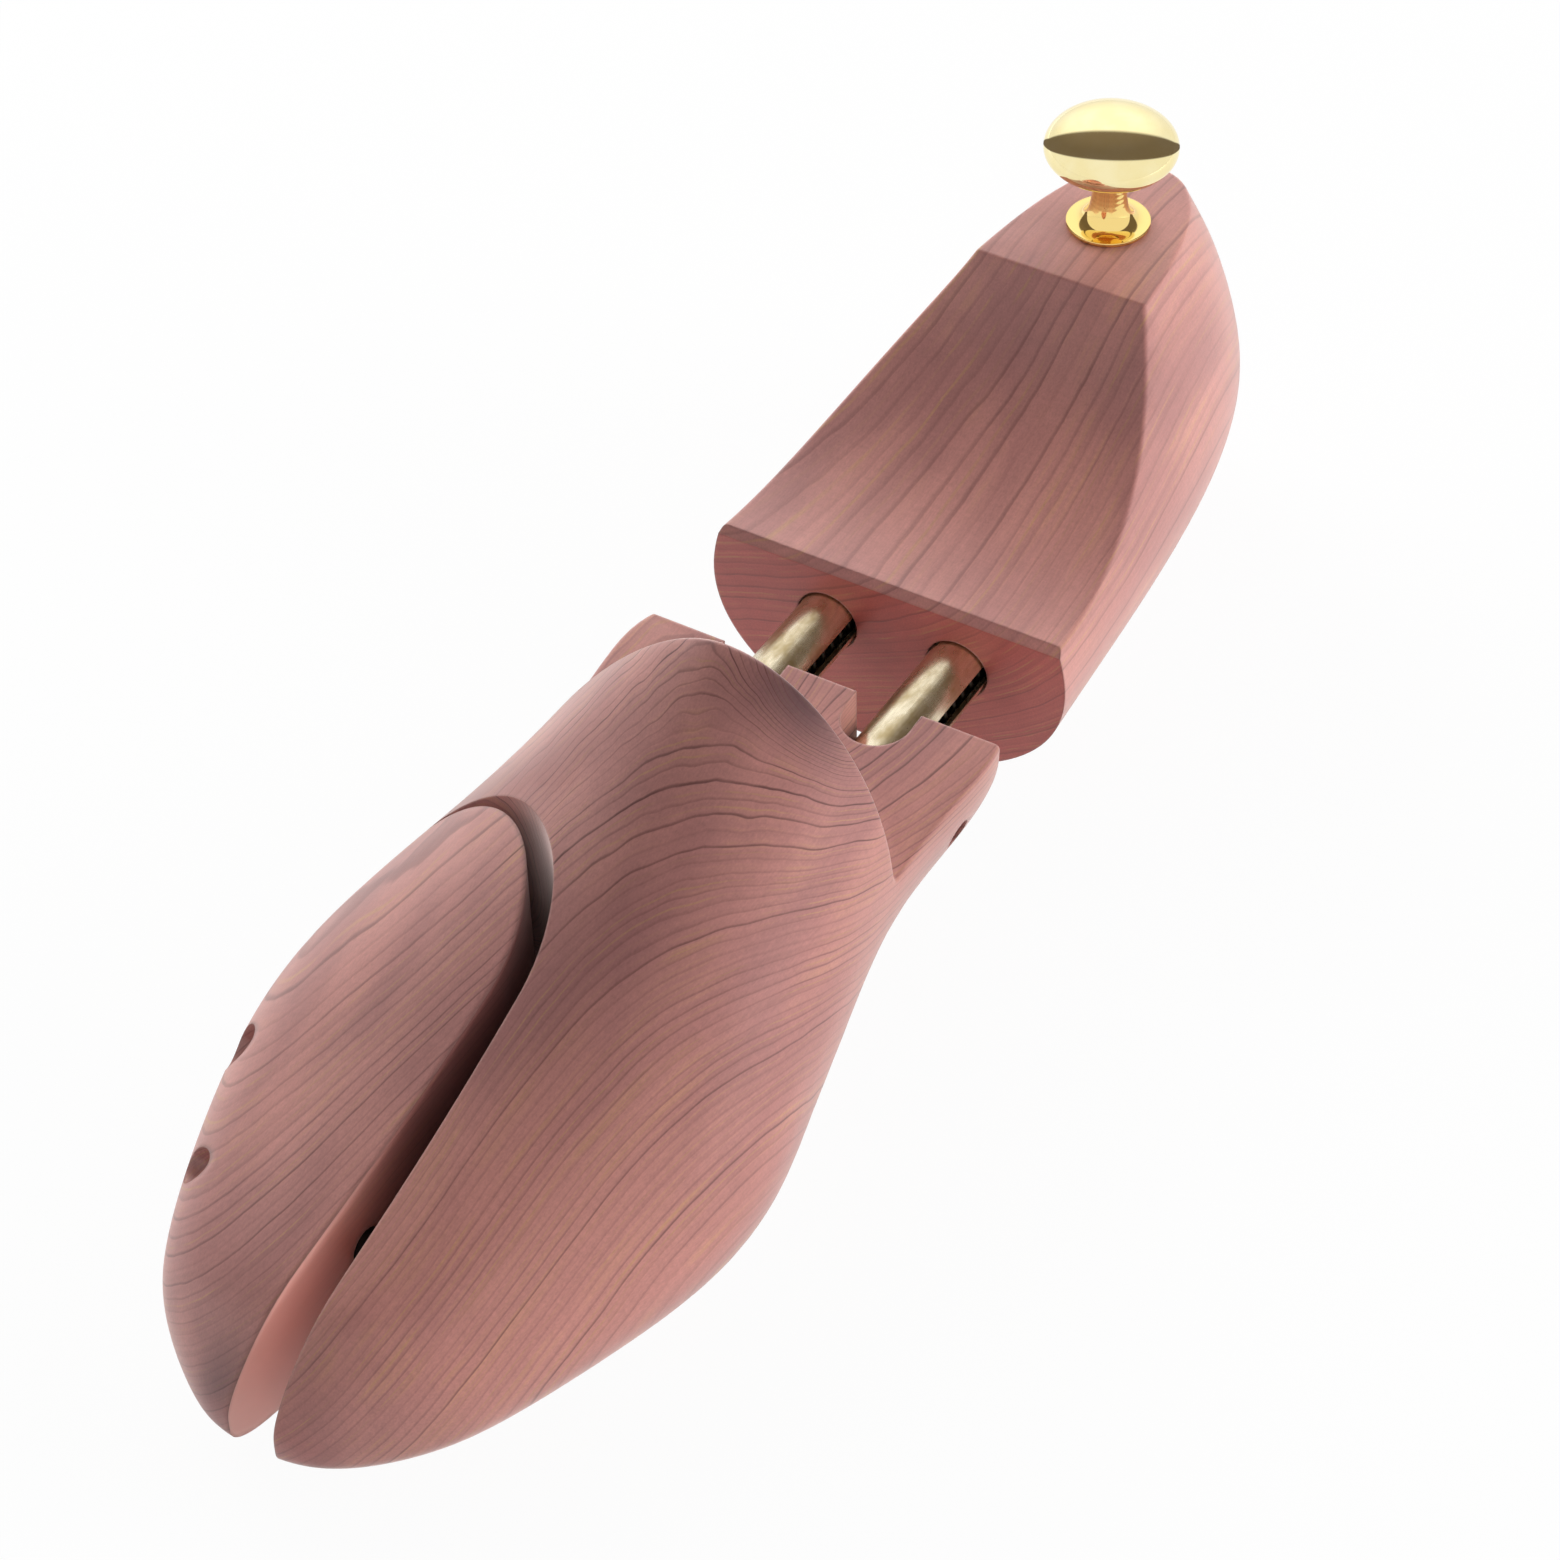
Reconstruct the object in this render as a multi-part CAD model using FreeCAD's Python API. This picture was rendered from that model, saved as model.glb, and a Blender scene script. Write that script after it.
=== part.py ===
import FreeCAD, Part
import os
from collections import namedtuple
from math import cos, radians, sin, sqrt

# Cedar shoe tree for a right shoe, with two sprung tubes and a sprung split toe.
# Frame in millimetres: +X from heel to toe, +Y to the tree's left, +Z up. The origin is on the
# base plane, midway between the tubes, below the rear wall of the instep.

V = FreeCAD.Vector
REACH = 400.0                  # longer than the tree, for cutting tools
CUT_OVERLAP = 1.0              # how far a small cutting tool stands out of the wood
EDGE_RADIUS = 0.8              # sanded edges of the wood

# Forepart
TAIL_LENGTH = 32.0             # instep wall to the tail's rear face
TAIL_REAR_HEIGHT = 32.0        # flat top of the tail, which falls a little towards the instep
TAIL_FRONT_HEIGHT = 30.0
INSTEP_CORNER_RADIUS = 1.0     # hollow corner between the tail and the instep wall
WAIST_HALF_WIDTH = 31.6        # at the tail
INSTEP_HEIGHT = 66.0           # ridge at the instep wall
BALL_X = 58.0
BALL_INNER = 39.4              # ball of the foot, inner side from the tubes' mid-plane
BALL_OUTER = 46.2
BALL_HEIGHT = 41.5
TOE_X = 121.4                  # tip of the toe
TOE_HEIGHT = 26.0              # ridge just behind the round of the toe
SOLE_FLAT_DEPTH = 0.6          # planed off the round underside, so that the tree lies still

# Split toe
SPLIT_X = 57.0                 # centre of the curve that leads the split out to the side
SPLIT_Y = -33.1
SPLIT_RADIUS = 35.0            # wall on the main half
SPLIT_LEAN = 0.4               # how far this wall leans inwards on its way to the toe
SPLIT_TOE_GAP = 7.6            # gap at the tip of the toe
TOE_TRAVEL = 3.6               # how far the side half can be pressed towards the main half
SPLIT_SPARE = 0.9              # gap that is then left all round the curve

# Heel block
HEEL_GAP = 22.0                # tail to heel block with the springs relaxed
HEEL_TRAVEL = 20.0             # how far the heel block can be pushed towards the forepart
HEEL_LENGTH = 104.0
HEEL_HALF_WIDTH = 32.5
SEAT_HEIGHT = 57.3
RAMP_HEIGHT = 33.2             # lowest line of the hollow ramp
RAMP_RADIUS = 68.0
RAMP_INSET = 6.0               # lowest line behind the front face
RAMP_LIP = 1.4                 # chamfer between the ramp and the front face
HEEL_SIDE_RUN = 44.0           # how far the flat of each side runs back from the front face
HEEL_OFFSET = -1.0             # the block's middle, beside the tubes' mid-plane

# Tubes
TUBE_DIAMETER = 10.4
TUBE_WALL = 0.8
TUBE_SPACING = 24.0
TUBE_HEIGHT = 21.9
TUBE_SEAT_DEPTH = 40.0         # tube inside the forepart
TUBE_END_LAND = 14.0           # tube behind its slot
TUBE_SEAT_CLEARANCE = 0.05
TUBE_SLIDE_CLEARANCE = 0.35    # the heel block's bores are loose on the tubes
BORE_SPARE = 2.0               # bore left beyond the tube with the heel pushed in
MOUTH_WIDTH = 11.6             # open-topped relief where a tube enters the tail
MOUTH_LENGTH = 9.5
TUBE_SLOT_WIDTH = 2.9
TUBE_SLOT_RISE = 0.9           # slot's middle above the tube's axis
TUBE_SLOT_OVERRUN = 4.7        # slot left in front of the pin with the heel pushed in

# Pin that runs in the slots
PIN_DIAMETER = 2.75
PIN_INSET = 6.0                # behind the heel block's front face
PIN_LENGTH = 44.0
PIN_STOP_CLEARANCE = 0.05
PIN_FIT = 0.02
PLUG_DIAMETER = 6.0
PLUG_SEAT_GAP = 0.1

# Screws that hold the tubes in the tail
TUBE_SCREW_INSET = 11.0        # in front of the tail's rear face
TUBE_SCREW_HOLE = 5.0
TUBE_SCREW_HEAD = 4.7
TUBE_SCREW_HEAD_HEIGHT = 2.2
TUBE_SCREW_HEAD_Y = 22.0       # under the head
TUBE_SCREW_SHANK = 3.2
TUBE_SCREW_LENGTH = 18.0
SCREW_FIT = 0.05
DRIVE_WIDTH = 0.9              # screwdriver slot
DRIVE_DEPTH = 0.8

# Springs, as sleeves of the wire's envelope
SPRING_WIRE = 1.1
SPRING_CLEARANCE = 0.3

# Knob and its stud
KNOB_SETBACK = 75.1            # behind the heel block's front face
KNOB_HEAD_DIAMETER = 22.4
KNOB_BASE_DIAMETER = 14.2
KNOB_STEM_DIAMETER = 5.8
KNOB_RIM_HEIGHT = 15.4         # widest line of the head above the seat
KNOB_CROWN = 5.8               # head above its widest line
KNOB_UNDERCUT = 4.4            # head below its widest line
KNOB_FOOT = 0.8                # straight edge of the base
KNOB_FLARE_HEIGHT = 8.0        # where the base has narrowed to the stem
KNOB_FLARE_FULLNESS = 0.75
KNOB_HEAD_FULLNESS = 0.55
STUD_DIAMETER = 4.0
STUD_IN_WOOD = 18.0
STUD_IN_KNOB = 7.0
STUD_FIT = 0.05

# Screw, washer and spring that hold the side half, and pins that guide it. Reach is measured from
# the main half's wall towards the side half, depth from there into the main half.
TOE_SCREW_X = 67.3
TOE_SCREW_Z = 17.8
TOE_HOLE = 8.0
TOE_SHOULDER_REACH = 25.9      # bottom of the screw's hole in the side half
TOE_SCREW_HEAD = 7.0
TOE_SCREW_HEAD_HEIGHT = 2.6
TOE_SCREW_SHANK = 4.0
TOE_SCREW_DEPTH = 20.1
TOE_SHANK_CLEARANCE = 0.3
WASHER_DIAMETER = 7.4
WASHER_THICKNESS = 1.0
WASHER_SEAT_GAP = 0.05
TOE_POCKET_DIAMETER = 7.8
TOE_POCKET_REACH = 12.9
TOE_POCKET_DEPTH = 7.1
TOE_SPRING_DIAMETER = 7.2
TOE_SPRING_WIRE = 0.9
GUIDE_SPACING = 22.0           # from the toe screw to each guide pin
GUIDE_HOLE = 6.0
GUIDE_CLEARANCE = 0.08         # sliding in the side half
GUIDE_SEAT_FIT = 0.02          # fixed in the main half
GUIDE_REACH = 27.9
GUIDE_DEPTH = 16.1

# Worked out from the sizes above
TAIL_X = -TAIL_LENGTH
HEEL_X = TAIL_X - HEEL_GAP
KNOB_X = HEEL_X - KNOB_SETBACK
PIN_X = HEEL_X - PIN_INSET
PIN_START_Y = HEEL_OFFSET - PIN_LENGTH / 2
PIN_END_Y = HEEL_OFFSET + PIN_LENGTH / 2
PIN_Z = TUBE_HEIGHT + TUBE_SLOT_RISE
SLOT_REAR_X = PIN_X - PIN_DIAMETER / 2 - PIN_STOP_CLEARANCE
SLOT_FRONT_X = PIN_X + HEEL_TRAVEL + PIN_DIAMETER / 2 + TUBE_SLOT_OVERRUN
TUBE_REAR_X = SLOT_REAR_X - TUBE_END_LAND
TUBE_FRONT_X = TAIL_X + TUBE_SEAT_DEPTH
HEEL_BORE_X = TUBE_REAR_X - HEEL_TRAVEL - BORE_SPARE
TUBE_SCREW_X = TAIL_X + TUBE_SCREW_INSET
SPLIT_WALL_Y = SPLIT_Y + SPLIT_RADIUS
SPLIT_MAIN_TOE_Y = SPLIT_WALL_Y + SPLIT_LEAN
SPLIT_SIDE_TOE_Y = SPLIT_MAIN_TOE_Y - SPLIT_TOE_GAP
TOE_SHOULDER_Y = SPLIT_WALL_Y - TOE_SHOULDER_REACH
TOE_SCREW_END_Y = SPLIT_WALL_Y + TOE_SCREW_DEPTH
TOE_POCKET_SIDE_Y = SPLIT_WALL_Y - TOE_POCKET_REACH
TOE_POCKET_MAIN_Y = SPLIT_WALL_Y + TOE_POCKET_DEPTH
GUIDE_END_SIDE_Y = SPLIT_WALL_Y - GUIDE_REACH
GUIDE_END_MAIN_Y = SPLIT_WALL_Y + GUIDE_DEPTH
SIDES = {"left": 1, "right": -1}

# Cross-sections of the forepart: where each lies, how wide it is on the inner and outer side and at
# what height, where its ridge and sole lie, and how full its inner, outer and lower curves are. The
# outer curve is fuller at the ridge than low on the side. Widths are shares of the ball's on that
# side, the ridge's offset is one of the inner width, and heights are shares of the instep's.
Section = namedtuple("Section", "x inner outer inner_z outer_z ridge_y ridge_z sole_z "
                     "inner_full outer_full side_full sole_full")
WAIST_INNER = WAIST_HALF_WIDTH / BALL_INNER
WAIST_OUTER = WAIST_HALF_WIDTH / BALL_OUTER
BALL_RIDGE = BALL_HEIGHT / INSTEP_HEIGHT
TOE_RIDGE = TOE_HEIGHT / INSTEP_HEIGHT
FOREPART = [
    Section(TAIL_X, WAIST_INNER, WAIST_OUTER, 0.470, 0.470, 0.038, 1.045, 0, 0.55, 0.38, 0.12, 0.50),
    Section(TAIL_X / 2, 0.799, 0.712, 0.447, 0.439, 0.056, 1.030, 0, 0.55, 0.38, 0.12, 0.52),
    Section(0, 0.797, 0.742, 0.409, 0.378, 0.076, 1, 0, 0.55, 0.44, 0.12, 0.56),
    Section(0.165 * TOE_X, 0.868, 0.909, 0.319, 0.273, 0.102, 0.853, 0, 0.53, 0.40, 0.20, 0.65),
    Section(0.330 * TOE_X, 0.964, 1.013, 0.250, 0.212, 0.127, 0.732, 0, 0.50, 0.38, 0.34, 0.74),
    Section(BALL_X, 1, 1, 0.227, 0.197, 0.152, BALL_RIDGE, 0, 0.48, 0.42, 0.42, 0.76),
    Section(0.634 * TOE_X, 0.898, 0.894, 0.212, 0.189, 0.152, 0.530, 0.008, 0.48, 0.46, 0.46, 0.73),
    Section(0.800 * TOE_X, 0.706, 0.722, 0.189, 0.181, 0.127, 0.447, 0.039, 0.50, 0.50, 0.50, 0.70),
    Section(0.898 * TOE_X, 0.532, 0.556, 0.170, 0.172, 0.089, TOE_RIDGE, 0.073, 0.52, 0.52, 0.52, 0.70),
    Section(0.955 * TOE_X, 0.352, 0.380, 0.158, 0.160, 0.038, 0.325, 0.095, 0.55, 0.55, 0.55, 0.70),
    Section(0.987 * TOE_X, 0.206, 0.246, 0.160, 0.163, -0.013, 0.265, 0.123, 0.55, 0.55, 0.55, 0.66),
    Section(TOE_X, 0.030, 0.122, 0.172, 0.172, -0.036, 0.212, 0.157, 0.55, 0.55, 0.55, 0.60),
]

# Level outlines of the heel block: height as a share of the seat's, half width at the front face, at
# the end of the flat sides and of the round back as shares of the block's, and length as a share of
# the block's. The seat is cut below the last one.
Level = namedtuple("Level", "z front waist back length")
HEEL = [
    Level(0, 0.218, 0.197, 0.197, 0.769),
    Level(0.026, 0.403, 0.363, 0.363, 0.856),
    Level(0.087, 0.634, 0.569, 0.566, 0.923),
    Level(0.175, 0.822, 0.738, 0.732, 0.966),
    Level(0.279, 0.945, 0.852, 0.843, 0.990),
    Level(0.419, 1, 0.902, 0.892, 1),
    Level(0.558, 0.966, 0.865, 0.852, 0.993),
    Level(0.698, 0.877, 0.769, 0.775, 0.975),
    Level(0.838, 0.751, 0.640, 0.680, 0.946),
    Level(0.977, 0.612, 0.502, 0.575, 0.906),
    Level(1.117, 0.468, 0.360, 0.465, 0.854),
]


def bezier(*poles):
    curve = Part.BezierCurve()
    curve.setPoles(list(poles))
    return curve.toShape()


def quarter(start, end, leave, fullness, end_fullness=None):
    """Quarter-round curve that leaves start along the axis named leave and meets end square to it."""
    step = end - start
    along = V(*[getattr(step, axis) if axis == leave else 0 for axis in "xyz"])
    end_fullness = end_fullness or fullness
    return bezier(start, start + along * fullness, end - (step - along) * end_fullness, end)


def line(*points):
    """Edges of a polyline through the points."""
    return [Part.LineSegment(a, b).toShape() for a, b in zip(points, points[1:])]


def prism(edges, direction):
    """Solid swept from a closed flat outline."""
    return Part.Face(Part.Wire(edges)).extrude(direction)


def rod(diameter, start, end):
    """Round bar between two points."""
    return Part.makeCylinder(diameter / 2, (end - start).Length, start, end - start)


def cross_rod(diameter, x, z, y_from, y_to):
    """Round bar along Y."""
    return rod(diameter, V(x, y_from, z), V(x, y_to, z))


def sleeve(outer, wall, start, end):
    """Round tube between two points."""
    return rod(outer, start, end).cut(rod(outer - 2 * wall, start, end))


def below_base():
    """Everything under the base plane."""
    return Part.makeBox(REACH, REACH, REACH, V(-REACH / 2, -REACH / 2, -REACH))


def tube_y(side):
    return SIDES[side] * TUBE_SPACING / 2


def section_wire(s):
    """Closed cross-section of the forepart: inner, outer and two lower curves."""
    inner = V(s.x, s.inner * BALL_INNER, s.inner_z * INSTEP_HEIGHT)
    ridge = V(s.x, s.ridge_y * BALL_INNER, s.ridge_z * INSTEP_HEIGHT)
    outer = V(s.x, -s.outer * BALL_OUTER, s.outer_z * INSTEP_HEIGHT)
    sole = V(s.x, (inner.y + outer.y) / 2, s.sole_z * INSTEP_HEIGHT - SOLE_FLAT_DEPTH)
    return Part.Wire([
        quarter(inner, ridge, "z", s.inner_full),
        quarter(ridge, outer, "y", s.outer_full, s.side_full),
        quarter(outer, sole, "z", s.sole_full),
        quarter(sole, inner, "y", s.sole_full),
    ])


def last_shape():
    """The forepart in one piece, before the tail is cut down and the toe is split."""
    return Part.makeLoft([section_wire(s) for s in FOREPART], True).cut(below_base())


def split_region(centre_y, radius, toe_y):
    """The side half's share of the toe, seen from above, as far in as one wall of the split."""
    end_x = TOE_X + SPLIT_RADIUS
    start = V(SPLIT_X, centre_y + radius, -REACH / 2)
    slope = (toe_y - start.y) / (TOE_X - SPLIT_X)
    front = V(end_x, start.y + slope * (end_x - SPLIT_X), start.z)
    rear = V(SPLIT_X - radius, centre_y, start.z)
    middle = V(SPLIT_X - radius * cos(radians(45)), centre_y + radius * sin(radians(45)), start.z)
    outside = [V(front.x, -REACH / 2, start.z), V(rear.x, -REACH / 2, start.z)]
    edges = line(start, front, *outside, rear) + [Part.Arc(rear, middle, start).toShape()]
    return prism(edges, V(0, 0, REACH))


def above_tail():
    """The space cut away above the tail, up to the instep wall."""
    slope = (TAIL_REAR_HEIGHT - TAIL_FRONT_HEIGHT) / TAIL_LENGTH
    floor = V(0, 0, TAIL_FRONT_HEIGHT)
    far = V(-REACH, 0, TAIL_FRONT_HEIGHT + slope * REACH)
    edges = line(far, floor, V(0, 0, 2 * REACH), V(-REACH, 0, 2 * REACH), far)
    space = prism(edges, V(0, REACH, 0))
    space.translate(V(0, -REACH / 2, 0))
    corner = [e for e in space.Edges if e.CenterOfMass.isEqual(floor, 1e-6)]
    return space.makeFillet(INSTEP_CORNER_RADIUS, corner)


def tube_mouth(side):
    """Open-topped relief over a tube where it enters the tail."""
    y = tube_y(side)
    r = MOUTH_WIDTH / 2
    rear = TAIL_X - r
    front = TAIL_X + MOUTH_LENGTH - r
    z = TUBE_HEIGHT
    edges = line(V(front, y + r, z), V(rear, y + r, z), V(rear, y - r, z), V(front, y - r, z))
    edges.append(Part.Arc(V(front, y - r, z), V(front + r, y, z), V(front, y + r, z)).toShape())
    return prism(edges, V(0, 0, REACH))


def tube_seat(side):
    """Bore and screw hole for one tube in the tail."""
    y = tube_y(side)
    sign = SIDES[side]
    bore = TUBE_DIAMETER + 2 * TUBE_SEAT_CLEARANCE
    cut = rod(bore, V(TAIL_X, y, TUBE_HEIGHT), V(TUBE_FRONT_X, y, TUBE_HEIGHT))
    head_seat = sign * TUBE_SCREW_HEAD_Y
    outside = sign * REACH / 2
    tip = head_seat - sign * TUBE_SCREW_LENGTH
    shank_hole = TUBE_SCREW_SHANK + 2 * SCREW_FIT
    hole = cross_rod(TUBE_SCREW_HOLE, TUBE_SCREW_X, TUBE_HEIGHT, head_seat, outside)
    pilot = cross_rod(shank_hole, TUBE_SCREW_X, TUBE_HEIGHT, tip, head_seat)
    return [cut, hole, pilot, tube_mouth(side)]


def guide_xs():
    return {"front": TOE_SCREW_X + GUIDE_SPACING, "rear": TOE_SCREW_X - GUIDE_SPACING}


def guide_diameter():
    return GUIDE_HOLE - 2 * GUIDE_CLEARANCE


def make_forepart_main(last):
    """Instep, tail and inner half of the toe."""
    body = last.cut(split_region(SPLIT_Y, SPLIT_RADIUS, SPLIT_MAIN_TOE_Y)).cut(above_tail())
    wall_edges = [e for e in body.Edges if abs(e.BoundBox.XMax) < 0.01 and abs(e.BoundBox.XMin) < 0.01
                  and e.BoundBox.ZMax > (INSTEP_HEIGHT + TAIL_FRONT_HEIGHT) / 2]
    body = body.makeFillet(EDGE_RADIUS, wall_edges)
    cuts = tube_seat("left") + tube_seat("right")
    guide_seat = guide_diameter() + 2 * GUIDE_SEAT_FIT
    for x in guide_xs().values():
        cuts.append(cross_rod(guide_seat, x, TOE_SCREW_Z, SPLIT_Y, GUIDE_END_MAIN_Y))
    screw_hole = TOE_SCREW_SHANK + 2 * SCREW_FIT
    cuts.append(cross_rod(screw_hole, TOE_SCREW_X, TOE_SCREW_Z, SPLIT_Y, TOE_SCREW_END_Y))
    cuts.append(cross_rod(TOE_POCKET_DIAMETER, TOE_SCREW_X, TOE_SCREW_Z, SPLIT_Y, TOE_POCKET_MAIN_Y))
    return body.cut(cuts)


def make_forepart_side(last):
    """Outer half of the toe, with its screw hole, spring pocket and guide holes."""
    region = split_region(SPLIT_Y - TOE_TRAVEL, SPLIT_RADIUS - SPLIT_SPARE, SPLIT_SIDE_TOE_Y)
    body = last.common(region)
    outside = -REACH / 2
    cuts = [cross_rod(GUIDE_HOLE, x, TOE_SCREW_Z, outside, SPLIT_WALL_Y)
            for x in guide_xs().values()]
    shank_hole = TOE_SCREW_SHANK + 2 * TOE_SHANK_CLEARANCE
    cuts.append(cross_rod(TOE_HOLE, TOE_SCREW_X, TOE_SCREW_Z, outside, TOE_SHOULDER_Y))
    cuts.append(cross_rod(shank_hole, TOE_SCREW_X, TOE_SCREW_Z, TOE_SHOULDER_Y, SPLIT_WALL_Y))
    cuts.append(cross_rod(TOE_POCKET_DIAMETER, TOE_SCREW_X, TOE_SCREW_Z, TOE_POCKET_SIDE_Y,
                          SPLIT_WALL_Y))
    return body.cut(cuts)


def level_wire(level):
    """Level outline of the heel block: straight front, gently tapering sides and round back."""
    middle = V(HEEL_X, HEEL_OFFSET, level.z * SEAT_HEIGHT)
    back = middle - V(level.length * HEEL_LENGTH, 0, 0)
    half = []
    for sign in (1, -1):
        side = V(0, sign * HEEL_HALF_WIDTH, 0)
        front = middle + side * level.front
        waist = middle + side * level.waist - V(HEEL_SIDE_RUN, 0, 0)
        half.append([front, waist, back + side * level.back, back])
    left, right = half
    return Part.Wire(line(right[0], left[0]) + [bezier(*left), bezier(*reversed(right))])


def heel_shape():
    """Heel block before its bores: seat, hollow ramp and round back."""
    block = Part.makeLoft([level_wire(level) for level in HEEL], True)
    above_seat = Part.makeBox(REACH, REACH, REACH, V(-REACH, -REACH / 2, SEAT_HEIGHT))
    ramp_x = HEEL_X - RAMP_INSET
    ramp = cross_rod(2 * RAMP_RADIUS, ramp_x, RAMP_HEIGHT + RAMP_RADIUS, -REACH / 2, REACH / 2)
    block = block.cut([above_seat, ramp])
    lip_z = RAMP_HEIGHT + RAMP_RADIUS - sqrt(RAMP_RADIUS ** 2 - RAMP_INSET ** 2)
    low = V(HEEL_X + CUT_OVERLAP, 0, lip_z - RAMP_LIP - CUT_OVERLAP)
    corner = V(HEEL_X + CUT_OVERLAP, 0, lip_z + CUT_OVERLAP)
    high = V(HEEL_X - RAMP_LIP - CUT_OVERLAP, 0, lip_z + CUT_OVERLAP)
    chamfer = prism(line(low, corner, high, low), V(0, REACH, 0))
    chamfer.translate(V(0, -REACH / 2, 0))
    block = block.cut(chamfer)
    sanded = [e for e in block.Edges if e.BoundBox.ZMax > SEAT_HEIGHT - 0.01
              and e.BoundBox.ZMin > RAMP_HEIGHT - RAMP_LIP]
    return block.makeFillet(EDGE_RADIUS, sanded)


def stud_rod(diameter, low, high):
    """Round bar on the knob's axis, from low to high above the seat."""
    seat = V(KNOB_X, HEEL_OFFSET, SEAT_HEIGHT)
    return rod(diameter, seat + V(0, 0, low), seat + V(0, 0, high))


def make_heel_block(shape):
    """Heel block with the tubes' bores and the holes for pin, plug and stud."""
    bore = TUBE_DIAMETER + 2 * TUBE_SLIDE_CLEARANCE
    cuts = []
    for side in SIDES:
        y = tube_y(side)
        cuts.append(rod(bore, V(HEEL_BORE_X, y, TUBE_HEIGHT), V(HEEL_X, y, TUBE_HEIGHT)))
    cuts.append(cross_rod(PIN_DIAMETER + 2 * PIN_FIT, PIN_X, PIN_Z, PIN_START_Y, PIN_END_Y))
    cuts.append(cross_rod(PLUG_DIAMETER, PIN_X, PIN_Z, -REACH / 2, PIN_START_Y))
    cuts.append(stud_rod(STUD_DIAMETER + 2 * STUD_FIT, -STUD_IN_WOOD, 0))
    return shape.cut(cuts)


def make_pin_plug(shape):
    """Cedar plug over the cross pin, planed flush with the heel block's side."""
    return shape.common(cross_rod(PLUG_DIAMETER, PIN_X, PIN_Z, -REACH / 2, PIN_START_Y - PLUG_SEAT_GAP))


def make_tube(side):
    """Brass-coloured tube, slotted through both sides for the pin, with a hole for its screw."""
    y = tube_y(side)
    tube = sleeve(TUBE_DIAMETER, TUBE_WALL, V(TUBE_REAR_X, y, TUBE_HEIGHT), V(TUBE_FRONT_X, y, TUBE_HEIGHT))
    r = TUBE_SLOT_WIDTH / 2
    start = SLOT_REAR_X + r
    end = SLOT_FRONT_X - r
    low_y = y - TUBE_DIAMETER
    a, b = V(start, low_y, PIN_Z + r), V(end, low_y, PIN_Z + r)
    c, d = V(end, low_y, PIN_Z - r), V(start, low_y, PIN_Z - r)
    edges = line(a, b) + [Part.Arc(b, V(end + r, low_y, PIN_Z), c).toShape()]
    edges += line(c, d) + [Part.Arc(d, V(start - r, low_y, PIN_Z), a).toShape()]
    slot = prism(edges, V(0, 2 * TUBE_DIAMETER, 0))
    hole = cross_rod(TUBE_SCREW_SHANK + 2 * SCREW_FIT, TUBE_SCREW_X, TUBE_HEIGHT,
                     low_y, y + TUBE_DIAMETER)
    return tube.cut([slot, hole])


def make_screw(head, head_height, shank, length):
    """Slotted pan-head screw along -Y, with the underside of its head at the origin."""
    body = rod(shank, V(0, -length, 0), V(0, 0, 0)).fuse(rod(head, V(0, 0, 0), V(0, head_height, 0)))
    drive_corner = V(-head / 2, head_height - DRIVE_DEPTH, -DRIVE_WIDTH / 2)
    drive = Part.makeBox(head, DRIVE_DEPTH, DRIVE_WIDTH, drive_corner)
    return body.cut(drive).removeSplitter()


def place_screw(screw, x, y, z, sign):
    """Screw put in place, with its head towards +Y or -Y."""
    if sign < 0:
        screw.rotate(V(0, 0, 0), V(0, 0, 1), 180)
    screw.translate(V(x, y, z))
    return screw


def make_tube_screw(side):
    sign = SIDES[side]
    screw = make_screw(TUBE_SCREW_HEAD, TUBE_SCREW_HEAD_HEIGHT, TUBE_SCREW_SHANK, TUBE_SCREW_LENGTH)
    return place_screw(screw, TUBE_SCREW_X, sign * TUBE_SCREW_HEAD_Y, TUBE_HEIGHT, sign)


def make_tube_spring(side):
    """Spring inside a tube, from the heel's pin to the tube's screw."""
    y = tube_y(side)
    rear = PIN_X + PIN_DIAMETER / 2 + SPRING_CLEARANCE
    front = TUBE_SCREW_X - TUBE_SCREW_SHANK / 2 - SPRING_CLEARANCE
    outer = TUBE_DIAMETER - 2 * TUBE_WALL - 2 * SPRING_CLEARANCE
    return sleeve(outer, SPRING_WIRE, V(rear, y, TUBE_HEIGHT), V(front, y, TUBE_HEIGHT))


def make_heel_cross_pin():
    return cross_rod(PIN_DIAMETER, PIN_X, PIN_Z, PIN_START_Y, PIN_END_Y)


def make_knob():
    """Turned knob: flared base, thin waist and a flattened round head, bored for its stud."""
    base, stem, head = KNOB_BASE_DIAMETER / 2, KNOB_STEM_DIAMETER / 2, KNOB_HEAD_DIAMETER / 2
    neck = KNOB_RIM_HEIGHT - KNOB_UNDERCUT
    foot = V(base, 0, KNOB_FOOT)
    waist = V(stem, 0, KNOB_FLARE_HEIGHT)
    under = V(stem, 0, neck)
    rim = V(head, 0, KNOB_RIM_HEIGHT)
    crown = V(0, 0, KNOB_RIM_HEIGHT + KNOB_CROWN)
    edges = line(V(0, 0, 0), V(base, 0, 0), foot)
    edges.append(quarter(foot, waist, "x", KNOB_FLARE_FULLNESS))
    edges += line(waist, under)
    edges.append(quarter(under, rim, "x", KNOB_HEAD_FULLNESS))
    edges.append(quarter(rim, crown, "z", KNOB_HEAD_FULLNESS))
    edges += line(crown, V(0, 0, 0))
    knob = Part.Face(Part.Wire(edges)).revolve(V(0, 0, 0), V(0, 0, 1), 360)
    knob = knob.cut(rod(STUD_DIAMETER + 2 * STUD_FIT, V(0, 0, 0), V(0, 0, STUD_IN_KNOB)))
    knob.translate(V(KNOB_X, HEEL_OFFSET, SEAT_HEIGHT))
    return knob


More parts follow.
